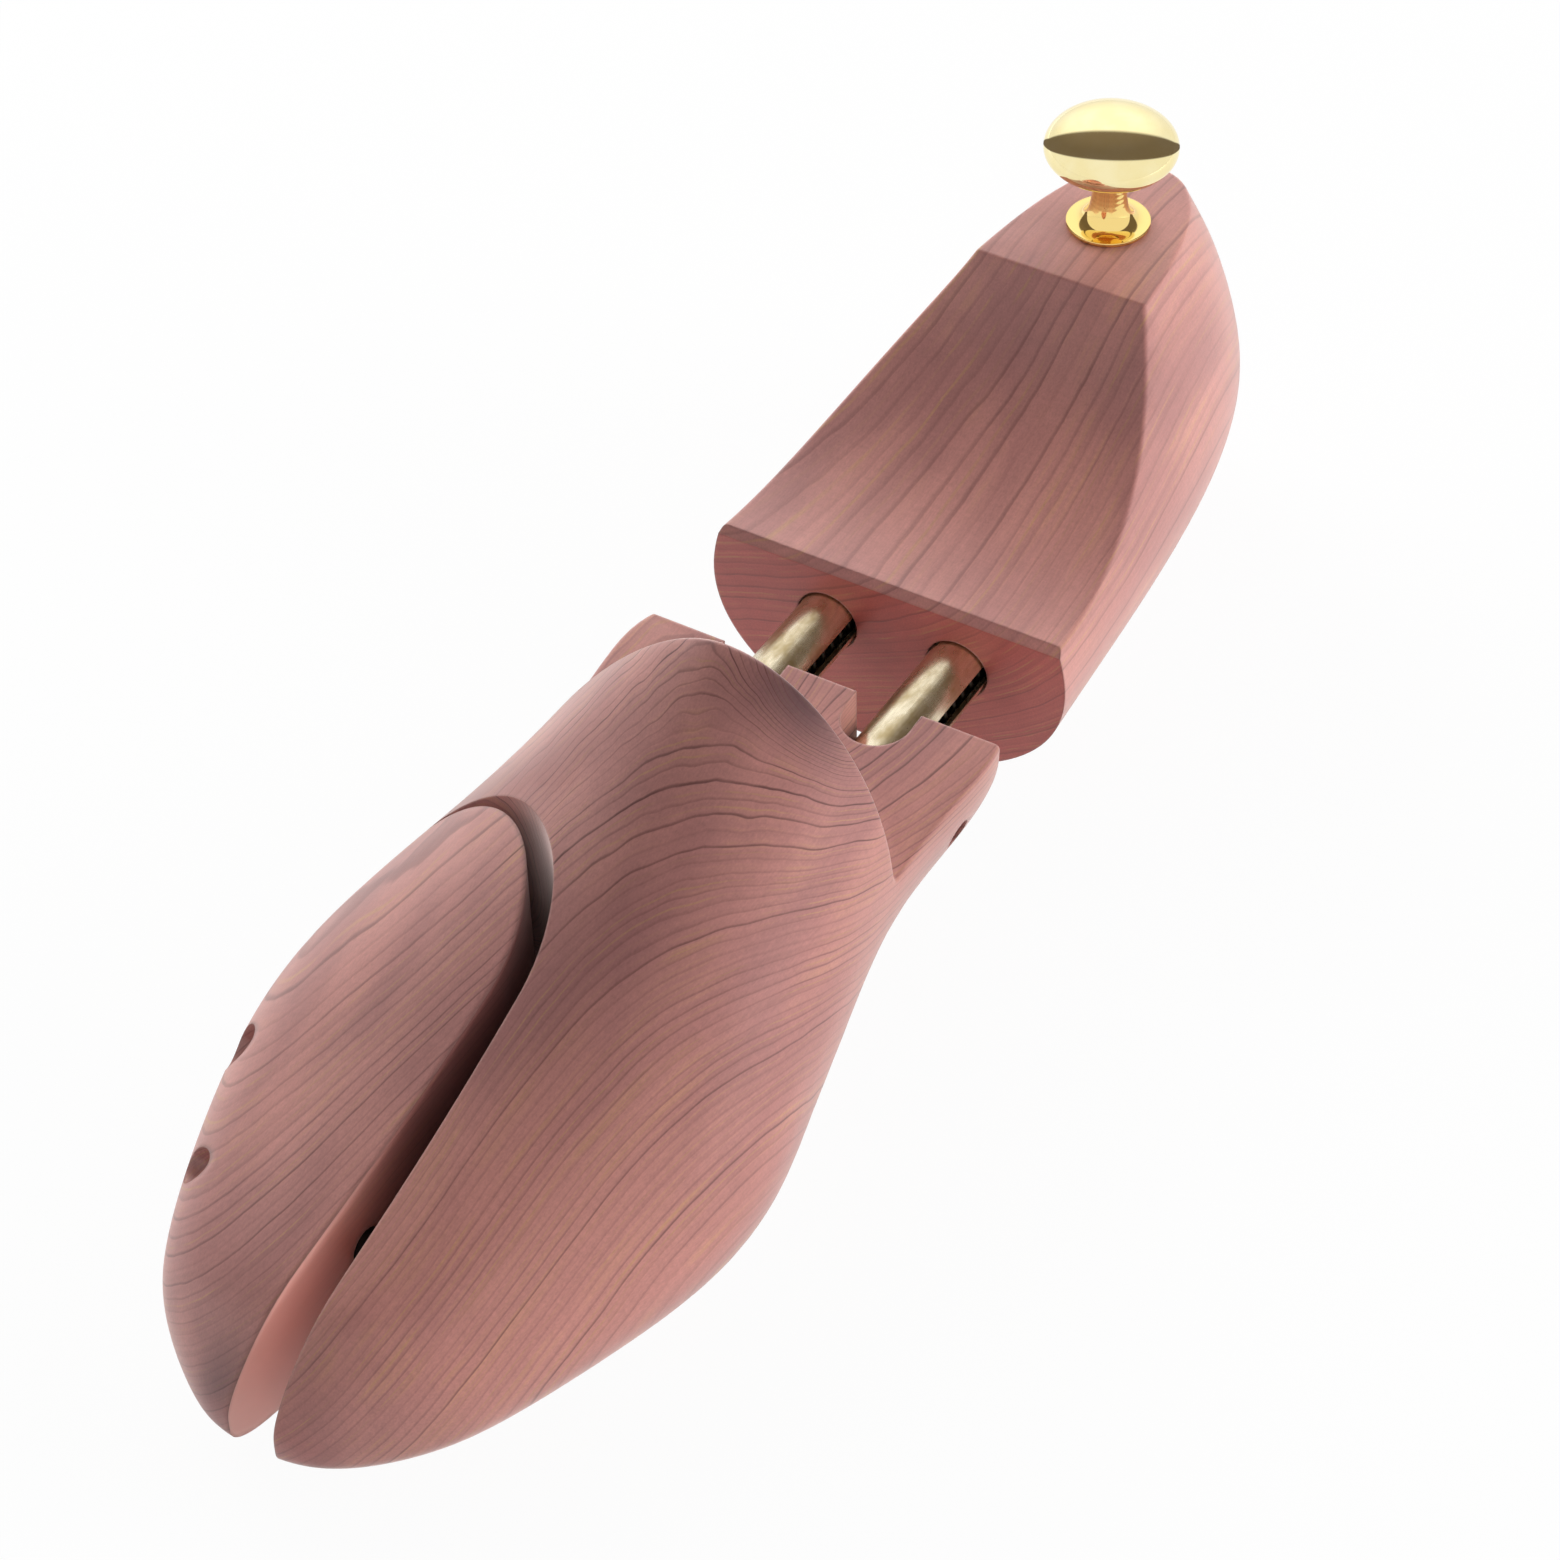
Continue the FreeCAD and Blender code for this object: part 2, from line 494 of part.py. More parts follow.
def make_knob_stud():
    return stud_rod(STUD_DIAMETER, -STUD_IN_WOOD, STUD_IN_KNOB)


def make_guide_pin(x):
    return cross_rod(guide_diameter(), x, TOE_SCREW_Z, GUIDE_END_SIDE_Y, GUIDE_END_MAIN_Y)


def toe_washer_y():
    """Face of the washer on the side half's shoulder."""
    return TOE_SHOULDER_Y - WASHER_SEAT_GAP


def make_toe_washer():
    y = toe_washer_y()
    outer = cross_rod(WASHER_DIAMETER, TOE_SCREW_X, TOE_SCREW_Z, y - WASHER_THICKNESS, y)
    hole = TOE_SCREW_SHANK + 2 * SCREW_FIT
    return outer.cut(cross_rod(hole, TOE_SCREW_X, TOE_SCREW_Z, y - WASHER_THICKNESS, y))


def make_toe_screw():
    y = toe_washer_y() - WASHER_THICKNESS
    screw = make_screw(TOE_SCREW_HEAD, TOE_SCREW_HEAD_HEIGHT, TOE_SCREW_SHANK, TOE_SCREW_END_Y - y)
    return place_screw(screw, TOE_SCREW_X, y, TOE_SCREW_Z, -1)


def make_toe_spring():
    """Spring round the toe screw, between the bottoms of its two pockets."""
    start = V(TOE_SCREW_X, TOE_POCKET_SIDE_Y + SPRING_CLEARANCE, TOE_SCREW_Z)
    end = V(TOE_SCREW_X, TOE_POCKET_MAIN_Y - SPRING_CLEARANCE, TOE_SCREW_Z)
    return sleeve(TOE_SPRING_DIAMETER, TOE_SPRING_WIRE, start, end)


def make_parts():
    """Every piece of the tree by its name."""
    last = last_shape()
    heel = heel_shape()
    parts = {
        "forepart_main": make_forepart_main(last),
        "forepart_side": make_forepart_side(last),
        "heel_block": make_heel_block(heel),
        "pin_plug": make_pin_plug(heel),
        "heel_cross_pin": make_heel_cross_pin(),
        "knob": make_knob(),
        "knob_stud": make_knob_stud(),
        "toe_screw": make_toe_screw(),
        "toe_washer": make_toe_washer(),
        "toe_spring": make_toe_spring(),
    }
    for side in SIDES:
        parts["tube_" + side] = make_tube(side)
        parts["tube_screw_" + side] = make_tube_screw(side)
        parts["tube_spring_" + side] = make_tube_spring(side)
    for end, x in guide_xs().items():
        parts["guide_pin_" + end] = make_guide_pin(x)
    return parts


os.makedirs("parts", exist_ok=True)
for name, shape in make_parts().items():
    shape.exportStep("parts/" + name + ".step")
    print(name, len(shape.Solids), "solid,", round(shape.Volume), "mm3, valid", shape.isValid())
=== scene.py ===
from collections import namedtuple
import bpy
import numpy as np
from mathutils import Matrix, Vector


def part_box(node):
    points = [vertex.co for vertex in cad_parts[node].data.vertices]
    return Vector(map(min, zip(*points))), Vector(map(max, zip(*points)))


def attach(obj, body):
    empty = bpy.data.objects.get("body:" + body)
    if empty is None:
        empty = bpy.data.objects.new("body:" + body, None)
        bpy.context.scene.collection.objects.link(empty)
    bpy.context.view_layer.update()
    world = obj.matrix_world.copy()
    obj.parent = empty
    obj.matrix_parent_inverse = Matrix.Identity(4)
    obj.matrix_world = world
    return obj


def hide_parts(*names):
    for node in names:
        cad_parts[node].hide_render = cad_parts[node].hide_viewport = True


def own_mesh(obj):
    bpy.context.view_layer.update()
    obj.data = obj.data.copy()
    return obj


# Looks of a cedar shoe tree: carved wood, satin tubes, a polished knob and the steel inside.
# Lengths are in millimetres, and MM turns them into the frame's metres.

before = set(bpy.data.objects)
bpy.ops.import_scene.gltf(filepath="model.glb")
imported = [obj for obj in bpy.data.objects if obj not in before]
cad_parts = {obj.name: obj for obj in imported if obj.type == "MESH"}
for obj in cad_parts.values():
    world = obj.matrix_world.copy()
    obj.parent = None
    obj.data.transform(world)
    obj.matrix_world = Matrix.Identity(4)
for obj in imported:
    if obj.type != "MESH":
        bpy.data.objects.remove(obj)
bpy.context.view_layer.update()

MM = 0.001


# Shader maths

BEVEL_SAMPLES = 6
EDGE_TURN = (0.01, 0.20)       # 1 - cos of the turn where an edge starts, and where it is full


class Field:
    """A number, colour or vector that changes over a surface; arithmetic on it adds Math nodes."""

    def __init__(self, look, socket):
        self.look = look
        self.socket = socket

    def calc(self, operation, *values):
        return self.look.node("ShaderNodeMath", {"operation": operation}, dict(enumerate(values)))

    def __add__(self, other):
        return self.calc("ADD", self, other)

    def __sub__(self, other):
        return self.calc("SUBTRACT", self, other)

    def __rsub__(self, other):
        return self.calc("SUBTRACT", other, self)

    def __mul__(self, other):
        return self.calc("MULTIPLY", self, other)

    def __truediv__(self, other):
        return self.calc("DIVIDE", self, other)

    def __rtruediv__(self, other):
        return self.calc("DIVIDE", other, self)

    def __pow__(self, other):
        return self.calc("POWER", self, other)

    __radd__ = __add__
    __rmul__ = __mul__

    def fract(self):
        return self.calc("FRACT", self)

    def floor(self):
        return self.calc("FLOOR", self)

    def exp(self):
        return self.calc("EXPONENT", self)

    def sine(self):
        return self.calc("SINE", self)

    def most(self, other):
        """The larger of two numbers."""
        return self.calc("MAXIMUM", self, other)

    def step(self, low, high):
        """0 below low, 1 above high, and smooth between them."""
        limits = {"Value": self, "From Min": low, "From Max": high}
        return self.look.node("ShaderNodeMapRange", {"interpolation_type": "SMOOTHSTEP"}, limits)

    def window(self, rise, fall):
        """Goes from 0 to 1 between the two limits of rise, and back to 0 between those of fall."""
        return self.step(*rise) * (1 - self.step(*fall))


class Look:
    """A material: its Principled shader and the nodes that feed it."""

    def __init__(self, name, **constants):
        self.material = bpy.data.materials.new(name)
        self.material.use_nodes = True
        self.tree = self.material.node_tree
        self.shader = self.tree.nodes["Principled BSDF"]
        for socket, value in constants.items():
            self.shader.inputs[socket.replace("_", " ")].default_value = value

    def node(self, kind, settings=None, inputs=None, output=0):
        """Any node: its settings are set first, then the values or links of its sockets."""
        node = self.tree.nodes.new(kind)
        for key, value in (settings or {}).items():
            setattr(node, key, value)
        for key, value in (inputs or {}).items():
            if isinstance(value, Field):
                self.tree.links.new(value.socket, node.inputs[key])
            else:
                node.inputs[key].default_value = value
        return Field(self, node.outputs[output])

    def feed(self, **fields):
        """Links fields to the shader's sockets."""
        for socket, field in fields.items():
            self.tree.links.new(field.socket, self.shader.inputs[socket.replace("_", " ")])

    def vector(self, operation, inputs, output=0):
        """Vector Math node."""
        return self.node("ShaderNodeVectorMath", {"operation": operation}, inputs, output)

    def dot(self, first, second):
        """How far one vector points along another."""
        return self.vector("DOT_PRODUCT", {0: first, 1: second}, "Value")

    def place(self):
        """Object coordinates in millimetres, as one vector."""
        metres = self.node("ShaderNodeTexCoord", output="Object")
        return self.vector("SCALE", {"Vector": metres, "Scale": 1 / MM})

    def axes(self, vector):
        """The three numbers of a vector."""
        inputs = {"Vector": vector}
        return [self.node("ShaderNodeSeparateXYZ", None, inputs, output=axis) for axis in "XYZ"]

    def noise(self, vector, size, detail=2.0, roughness=0.5):
        """Cloudy noise from 0 to 1 round 0.5; size is a blotch's width along each axis."""
        squeezed = self.vector("MULTIPLY", {0: vector, 1: tuple(1 / s for s in size)})
        inputs = {"Vector": squeezed, "Scale": 1.0, "Detail": detail, "Roughness": roughness}
        return self.node("ShaderNodeTexNoise", None, inputs)

    def chance(self, number):
        """A random number from 0 to 1 for each whole number."""
        return self.node("ShaderNodeTexWhiteNoise", {"noise_dimensions": "1D"}, {"W": number})

    def blend(self, share, first, second):
        """Colour that goes from first to second as share goes from 0 to 1."""
        inputs = {0: share, 6: first, 7: second}
        return self.node("ShaderNodeMix", {"data_type": "RGBA"}, inputs, output=2)

    def shade(self, colour, factor):
        """Colour times a number."""
        grey = self.node("ShaderNodeCombineColor", None, {0: factor, 1: factor, 2: factor})
        mode = {"data_type": "RGBA", "blend_type": "MULTIPLY"}
        return self.node("ShaderNodeMix", mode, {0: 1.0, 6: colour, 7: grey}, output=2)

    def turned(self, axis):
        """How far the true surface faces along an axis, -1 to 1."""
        return self.dot(self.node("ShaderNodeNewGeometry", output="Normal"), axis)

    def rounded(self, radius):
        """Normal that rounds off sharp edges by a radius."""
        return self.node("ShaderNodeBevel", {"samples": BEVEL_SAMPLES}, {"Radius": radius * MM})

    def edge(self, rounded):
        """1 on sharp edges and 0 on the flats: how far the rounded normal turns from the true one."""
        return (1 - self.turned(rounded)).step(*EDGE_TURN)

    def relief(self, height, depth, normal=None):
        """Normal with a height field from 0 to 1 pressed in by a depth."""
        inputs = {"Height": height, "Distance": depth * MM, "Strength": 1.0}
        if normal:
            inputs["Normal"] = normal
        return self.node("ShaderNodeBump", None, inputs)


def rgb(red, green, blue):
    """Linear colour from the 0 to 255 numbers of a display colour, by the sRGB formula."""
    share = np.array([red, green, blue]) / 255
    linear = np.where(share <= 0.04045, share / 12.92, ((share + 0.055) / 1.055) ** 2.4)
    return (*linear.tolist(), 1.0)


# Cedar

PINK = rgb(190, 129, 120)
MAUVE = rgb(158, 104, 100)
LATE = rgb(98, 54, 51)
HONEY = rgb(186, 142, 96)
PLUM = rgb(74, 46, 54)
# Red of the end grain, deepened as painted shade on faces towards the toe
END_GRAIN_AND_SHADE = rgb(180, 86, 80)
# Painted shade for the split's wall where it lies deep in the split
PAINTED_SHADE = rgb(132, 80, 77)
# Pale edges: partly worn raw wood, partly painted highlight
RAW_EDGE_AND_HIGHLIGHT = rgb(216, 168, 156)
# Painted light for the split's wall near its open toe end
PAINTED_LIGHT = rgb(248, 190, 178)
SHEEN_TINT = (1.0, 0.84, 0.8, 1.0)
SHEEN_ROUGHNESS = 0.35
COAT = 0.3
COAT_ROUGHNESS = 0.3

# Noises: a blotch's width along X, Y and Z, detail and roughness
LONG_WAVE = ((70, 30, 30), 1.0)
SHORT_WAVE = ((22, 8, 8), 2.0)
FADE = ((26, 5, 5), 1.0)
FIBRE = ((4.5, 0.35, 0.35), 3.0, 0.65)
GRIT = ((0.5, 0.3, 0.3), 2.0, 0.6)
FLECK = ((0.7, 3.5, 3.5), 2.0, 0.6)
CLOUD = ((60, 16, 16), 3.0)
STREAK = ((1, 1, 1), 3.0, 0.6)
STREAKS_PER_RING = 2.2
STREAK_DRIFT = 0.02            # how fast the streaks change along X and Z

# Parts of a ring, from 0 at its start to 1 at its end, where its lines rise and fall
LATE_RISE = (0.72, 0.89)
RING_END = (0.93, 1.0)
SWELL_RISE = (0.1, 0.9)
GOLD_RISE = (0.34, 0.42)
GOLD_FALL = (0.46, 0.54)
OTHER_DRAW = 0.37              # added to a ring's number for a second random number
LATE_LEAST = 0.2               # late wood of the faintest ring
FADE_LEAST, FADE_GAIN = 0.35, 1.1

# Noise or chance from which a look starts, and at which it is full
GOLD_CHANCE, GOLD_FADE = (0.4, 0.7), (0.3, 0.6)
MAUVE_CLOUD = (0.35, 0.68)
AMBER_STREAK, AMBER_CLOUD, AMBER_FADE = (0.48, 0.7), (0.42, 0.6), (0.35, 0.6)

# Cosines of the surface to an axis, from which a look starts and at which it is full
END_FACING = (0.6, 0.9)        # squared, for end grain both ways along X
FRONT_FACING = (0, 0.5)
WALL_FACING = (0.35, 0.7)
DULL_FACING = (0.5, 0.66)
DULL_AXIS = 0.7                # towards the toe, and as far across

# Shares of the colours, and strengths of the lightness
CLOUD_SHARE = 0.75
REAR_END_SHARE = 0.35          # end grain that faces backwards, against 1 forwards
AMBER_SHARE = 0.4
GOLD_SHARE = 0.55
SWELL_SHARE = 0.14
PAINTED_SHADE_SHARE = 0.6
PAINTED_LIGHT_SHARE = 0.95
MARK_LINE = 0.6                # how much a mark darkens the late wood
REAR_LINE, TOE_FADE = 1.3, 0.35  # factor on the late wood at the rear, and its loss at the toe
LIGHT, FIBRE_LIGHT, GRIT_LIGHT, STREAK_LIGHT, FLECK_LIGHT = 0.38, 0.38, 0.32, 0.36, 0.16
ROUGH, FIBRE_ROUGH, DULL_ROUGH = 0.36, 0.22, 0.4
FIBRE_HEIGHT, LATE_HEIGHT, GRAIN_DEPTH = 0.6, 0.3, 0.05

# Where along X the looks change, start and end
LINE_WAY = (10, 70)            # the late wood fades towards the toe
RIPPLE_WAY = (15, 70)          # the ripples calm down towards the toe
SLOT_START = (10, 20)
PAINTED_SHADE_END = (70, 100)
PAINTED_LIGHT_START = (75, 108)
DULL_START, DULL_END = (18, 24), (80, 100)

Knot = namedtuple("Knot", "centre spread strength")


def swelling(x, y, z, knot):
    """strength exp(-q / 2), where q is the squared distance from a knot's centre, with its spread along
    each axis as the unit."""
    a, b, c = [(v - at) / unit for v, at, unit in zip((x, y, z), knot.centre, knot.spread)]
    return ((a * a + b * b + c * c) * -0.5).exp() * knot.strength


def pith(x, y, z, at, slope):
    """Distance from a pith line that runs along X: y = at_y + slope_y x, z = at_z + slope_z x."""
    a, b = y - at[0] - x * slope[0], z - at[1] - x * slope[1]
    return (a * a + b * b) ** 0.5


def waves(look, point, large, small):
    """Wander of the layers: long slow waves and short ripples, each times its height."""
    return look.noise(point, *LONG_WAVE) * large + look.noise(point, *SHORT_WAVE) * small


MAIN_RING = 1.45               # from ring to ring
MAIN_PITH, MAIN_PITH_SLOPE = (-27.4, 18.4), (0.062, 0.154)
MAIN_WIDE_KNOT = Knot((-36.5, 88.0, 65.3), (52.6, 94.7, 29.3), 95.5)
MAIN_SMALL_KNOT = Knot((-1, 19, 62), (5, 9, 8), 9.0)
MAIN_WAVE, MAIN_RIPPLE, MAIN_RIPPLE_LOSS = 1.5, 1.9, 1.2
MAIN_CREST, MAIN_CREST_RINGS = (0, 14), 6.0  # where rings are added, and how many


def main_rings(look, point, x, y, z):
    """Ring number in the main half: rings round a pith line at its outer side, drawn aside by a wide knot
    beyond the instep's inner corner, pressed together by a small one on the instep, rippled there, and
    closer on its crest, n = f / ring + crest_rings step(f along the crest)."""
    f = pith(x, y, z, MAIN_PITH, MAIN_PITH_SLOPE)
    f = f - swelling(x, y, z, MAIN_WIDE_KNOT) - swelling(x, y, z, MAIN_SMALL_KNOT)
    f = f + waves(look, point, MAIN_WAVE, MAIN_RIPPLE - x.step(*RIPPLE_WAY) * MAIN_RIPPLE_LOSS)
    return f / MAIN_RING + f.step(*MAIN_CREST) * MAIN_CREST_RINGS


SIDE_RING = 1.1
SIDE_LAYERS = (-0.03, 0.69, -0.72)  # how fast the layers change along X, Y and Z
SIDE_WAVE, SIDE_RIPPLE = 2.5, 0.7


def side_rings(look, point, x, y, z):
    """Ring number in the side half: flat layers that lie nearly along its outer shoulder, so that the lines
    turn back on themselves there, n = (layers . (x, y, z) + waves) / ring."""
    along_x, along_y, along_z = SIDE_LAYERS
    flat = y * along_y + z * along_z + x * along_x
    return (flat + waves(look, point, SIDE_WAVE, SIDE_RIPPLE)) / SIDE_RING


HEEL_RING = 2.4
HEEL_LAYERS = (0.248, 0.842, -0.597)
HEEL_KNOT = Knot((-35.6, 14.9, 36.2), (59.1, 46.9, 31.1), 43.0)
HEEL_WAVE, HEEL_RIPPLE = 3.0, 1.2


def heel_rings(look, point, x, y, z):
    """Ring number in the heel block: leaning layers that bend round a wide knot near its front face,
    n = (layers . (x, y, z) - knot + waves) / ring."""
    along_x, along_y, along_z = HEEL_LAYERS
    bent = y * along_y + z * along_z + x * along_x - swelling(x, y, z, HEEL_KNOT)
    return (bent + waves(look, point, HEEL_WAVE, HEEL_RIPPLE)) / HEEL_RING


def ring_lines(look, n, fade):
    """Lines along the rings of number n: the dark late wood that ends a ring, its slow start and a honey
    line midway. Each ring has its own strengths by chance, and fade weakens lines along their way."""
    part, whole = n.fract(), n.floor()
    which, other = look.chance(whole), look.chance(whole + OTHER_DRAW)
    late = part.window(LATE_RISE, RING_END) * (LATE_LEAST + which * which)
    late = late * (FADE_LEAST + fade * FADE_GAIN)
    swell = part.window(SWELL_RISE, RING_END) * other
    gold = part.window(GOLD_RISE, GOLD_FALL) * other.step(*GOLD_CHANCE) * fade.step(*GOLD_FADE)
    return late, swell, gold


def cedar(name, rings, tone, sheen, radius, line, rim, ends, slot=0, marks=()):
    """Sanded red cedar: a thin dark line of late wood ends each ring, with honey lines and fine streaks
    between, fibre along X, flecks across it, clouds of mauve, red end grain, plum marks and pale edges
    rounded by a radius. The end grain is partly the wood's own red and partly painted shade, full on faces
    towards the toe; the pale edges are partly worn wood and partly painted highlight. tone is a factor on
    the colour, sheen its bloom; line, rim and ends are the strengths of the late wood, the pale edges and
    the end grain; slot is the way that the split's wall faces along Y, or 0 for none. That wall is dull,
    with painted shade where it lies deep in the split and painted light near the toe, where light falls in
    at its open end."""
    look = Look(
        name, Sheen_Weight=sheen, Sheen_Roughness=SHEEN_ROUGHNESS, Sheen_Tint=SHEEN_TINT,
        Coat_Weight=COAT, Coat_Roughness=COAT_ROUGHNESS)
    point = look.place()
    x, y, z = look.axes(point)
    n = rings(look, point, x, y, z)
    fade, fibre, grit, fleck, cloud = [
        look.noise(point, *kind) for kind in (FADE, FIBRE, GRIT, FLECK, CLOUD)]
    across = {0: x * STREAK_DRIFT, 1: n * STREAKS_PER_RING, 2: z * STREAK_DRIFT}
    streak = look.noise(look.node("ShaderNodeCombineXYZ", None, across), *STREAK)
    late, swell, gold = ring_lines(look, n, fade)

    colour = look.blend(cloud.step(*MAUVE_CLOUD) * CLOUD_SHARE, PINK, MAUVE)
    # End grain: the wood's own redder colour, full on faces towards the toe and weaker behind, as painted
    # shade on the faces turned from the light.
    end = look.turned((1, 0, 0))
    forward = REAR_END_SHARE + end.step(*FRONT_FACING) * (1 - REAR_END_SHARE)
    cut = (end * end).step(*END_FACING) * forward
    amber = streak.step(*AMBER_STREAK) * (1 - cloud.step(*AMBER_CLOUD)) * fade.step(*AMBER_FADE)
    colour = look.blend(cut * ends, colour, END_GRAIN_AND_SHADE)
    colour = look.blend(amber * AMBER_SHARE, colour, HONEY)
    colour = look.blend(gold * GOLD_SHARE, colour, HONEY)
    colour = look.blend(swell * SWELL_SHARE, colour, LATE)
    line = line * (REAR_LINE - x.step(*LINE_WAY) * TOE_FADE)
    for mark in marks:
        dark = swelling(x, y, z, mark)
        colour = look.blend(dark, colour, PLUM)
        line = line + dark * MARK_LINE
    colour = look.blend(late * line, colour, LATE)
    light = LIGHT + fibre * FIBRE_LIGHT + grit * GRIT_LIGHT + streak * STREAK_LIGHT + fleck * FLECK_LIGHT
    colour = look.shade(colour, light * tone)
    rough = ROUGH + fibre * FIBRE_ROUGH

    if slot:
        wall = look.turned((0, slot, 0)).step(*WALL_FACING) * x.step(*SLOT_START)
        # Painted shade: the split's wall is darker away from the toe, where it lies deep in shade.
        colour = look.blend(wall * (1 - x.step(*PAINTED_SHADE_END)) * PAINTED_SHADE_SHARE, colour, PAINTED_SHADE)
        # Painted light: the split's wall is paler near the toe, where light falls in at its open end.
        colour = look.blend(wall * x.step(*PAINTED_LIGHT_START) * PAINTED_LIGHT_SHARE, colour, PAINTED_LIGHT)
        dull = look.turned((DULL_AXIS, slot * DULL_AXIS, 0)).step(*DULL_FACING)
        dull = dull * x.window(DULL_START, DULL_END)
        look.feed(Coat_Weight=COAT - dull * COAT)
        rough = rough + dull * DULL_ROUGH
    soft = look.rounded(radius)
    # Pale edges: partly worn raw wood, partly painted highlight along the rounded edges.
    colour = look.blend(look.edge(soft) * rim, colour, RAW_EDGE_AND_HIGHLIGHT)
    grain = look.relief(fibre * FIBRE_HEIGHT + late * LATE_HEIGHT, GRAIN_DEPTH, soft)
    look.feed(Base_Color=colour, Roughness=rough, Normal=grain)
    return look.material


# Metals

TUBE_LIGHT, TUBE_DULL = rgb(238, 226, 198), rgb(190, 170, 128)
TUBE_DRAWN = ((30, 0.5, 0.5), 3.0, 0.6)
TUBE_CLOUD = ((7, 4, 4), 3.0, 0.6)
TUBE_DULL_CLOUD = (0.35, 0.7)
TUBE_SHADE, TUBE_SHADE_GAIN = 0.85, 0.3
TUBE_ROUGH, TUBE_ROUGH_GAIN = 0.17, 0.2
TUBE_DEPTH = 0.02
KNOB_PALE, KNOB_WARM, KNOB_GOLD = rgb(253, 240, 190), rgb(250, 234, 176), rgb(250, 220, 140)
KNOB_HAZE = ((5, 5, 5), 3.0)
KNOB_WARM_HAZE = (0.3, 0.7)
KNOB_ROUGH, KNOB_ROUGH_GAIN = 0.04, 0.05
KNOB_HEAD_START = (9.5, 13.5)  # heights above the foot where the gold turns pale
KNOB_RINGS_START, KNOB_RINGS_END = (3.5, 5.0), (9.5, 11.0)
KNOB_RINGS_PACE = 7.0          # radians of the turning rings' wave per millimetre
KNOB_RINGS_SWING, KNOB_RINGS_DEPTH = 0.5, 0.006
SCRATCH = ((0.4, 3, 0.4), 3.0, 0.65)
SCRATCH_ROUGH, SCRATCH_DEPTH = 0.15, 0.01
GRIME = ((3, 3, 3), 3.0)
DARK_GRIME = (0.4, 0.75)


def tube_metal():
    """Satin champagne tube: mottled drawing marks along X and dull brown clouds."""
    look = Look("satin_tube", Metallic=1.0)
    point = look.place()
    drawn = look.noise(point, *TUBE_DRAWN)
    cloud = look.noise(point, *TUBE_CLOUD)
    colour = look.blend(cloud.step(*TUBE_DULL_CLOUD), TUBE_LIGHT, TUBE_DULL)
    colour = look.shade(colour, TUBE_SHADE + drawn * TUBE_SHADE_GAIN)
    rough = TUBE_ROUGH + cloud * TUBE_ROUGH_GAIN
    look.feed(Base_Color=colour, Roughness=rough, Normal=look.relief(drawn, TUBE_DEPTH))
    return look.material


def knob_metal(foot):
    """Mirror-polished brass, pale on the head and deeper gold below it, with a faint haze and fine turning
    rings on the stem. foot is the height of the knob's foot."""
    look = Look("polished_knob", Metallic=1.0)
    point = look.place()
    z = look.axes(point)[2]
    height = z - foot
    haze = look.noise(point, *KNOB_HAZE)
    colour = look.blend(haze.step(*KNOB_WARM_HAZE), KNOB_PALE, KNOB_WARM)
    colour = look.blend(height.step(*KNOB_HEAD_START), KNOB_GOLD, colour)
    stem = height.window(KNOB_RINGS_START, KNOB_RINGS_END)
    turning = (z * KNOB_RINGS_PACE).sine() * stem * KNOB_RINGS_SWING
    rough = KNOB_ROUGH + haze * KNOB_ROUGH_GAIN
    look.feed(Base_Color=colour, Roughness=rough, Normal=look.relief(turning, KNOB_RINGS_DEPTH))
    return look.material


def steel(name, light, dark, rough):
    """Turned steel with grime in its scratches."""
    look = Look(name, Metallic=1.0)
    point = look.place()
    scratch = look.noise(point, *SCRATCH)
    colour = look.blend(look.noise(point, *GRIME).step(*DARK_GRIME), light, dark)
    rough = rough + scratch * SCRATCH_ROUGH
    look.feed(Base_Color=colour, Roughness=rough, Normal=look.relief(scratch, SCRATCH_DEPTH))
    return look.material


# Surfaces

SHARP_ANGLE = 28               # degrees of turn at which an edge stays sharp
JOIN = 0.001                   # corners this near are one


def new_piece(name, points, faces):
    """Mesh object at the origin from lists of corners and faces."""
    mesh = bpy.data.meshes.new(name)
    mesh.from_pydata(points, [], faces)
    mesh.validate()
    piece = bpy.data.objects.new(name, mesh)
    bpy.context.scene.collection.objects.link(piece)
    return piece


def grid_faces(rows, columns):
    """Four-cornered faces of a grid whose columns close on themselves."""
    row, column = np.mgrid[0:rows - 1, 0:columns]
    after = (column + 1) % columns
    here, above = row * columns, (row + 1) * columns
    corners = [here + column, here + after, above + after, above + column]
    return np.stack(corners, -1).reshape(-1, 4)


def closed_sweep(name, rings):
    """Closed skin over rings of points, an array of rows by columns by 3, with a fan over each end."""
    rows, columns, _ = rings.shape
    points = np.concatenate([rings.reshape(-1, 3), rings[[0, -1]].mean(1)])
    at = np.arange(columns)
    after = (at + 1) % columns
    top = (rows - 1) * columns
    first = np.stack([after, at, np.full(columns, rows * columns)], -1)
    last = np.stack([top + at, top + after, np.full(columns, rows * columns + 1)], -1)
    faces = grid_faces(rows, columns).tolist() + first.tolist() + last.tolist()
    piece = new_piece(name, points.tolist(), faces)
    piece.data.shade_smooth()
    return piece


